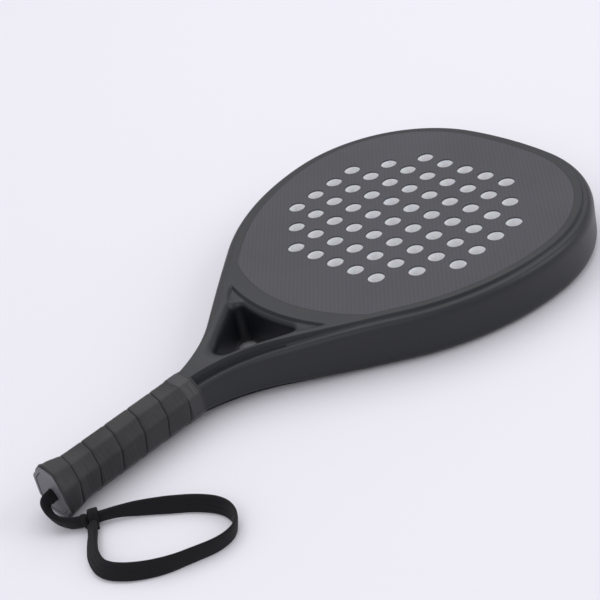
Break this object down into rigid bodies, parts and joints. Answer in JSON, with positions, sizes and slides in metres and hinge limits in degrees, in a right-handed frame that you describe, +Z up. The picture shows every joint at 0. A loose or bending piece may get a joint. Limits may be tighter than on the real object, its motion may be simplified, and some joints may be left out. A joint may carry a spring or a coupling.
{
  "type": "padel racket",
  "caption": "Padel racket with a drilled foam-core head, hollow moulded frame with an open throat, wrapped grip, butt cap and wrist cord.",
  "frame": {"origin": "on the resting surface, under the middle of the racket's length and width, cord left out", "axes": "+Y along the racket towards the tip of the head, +Z up through its thickness, X across it, the racket lying on its rear face"},
  "size_m": [0.257, 0.4738, 0.038],
  "materials": {
    "frame_paint": "satin black lacquer over carbon and glass fibre laminate",
    "face_laminate": "matt lacquered woven laminate",
    "core_foam": "matt closed-cell foam",
    "filler_foam": "matt rigid foam",
    "grip": "soft matt polyurethane strip",
    "tape": "satin elastic tape",
    "cap_plastic": "fine textured moulded plastic",
    "cord": "matt braided polyester"
  },
  "bodies": {
    "root": {"frame_tube": "frame_paint", "throat_bridge": "frame_paint", "frame_foam": "filler_foam", "bridge_foam": "filler_foam", "core": "core_foam", "rear_face": "face_laminate", "front_face": "face_laminate", "cushion_grip": "grip", "finishing_tape": "tape", "butt_cap": "cap_plastic", "butt_plug": "cap_plastic", "stop_knot": "cord", "wrist_cord_lead": "cord", "wrist_cord_loop": "cord", "slip_knot": "cord"}
  },
  "joints": []
}
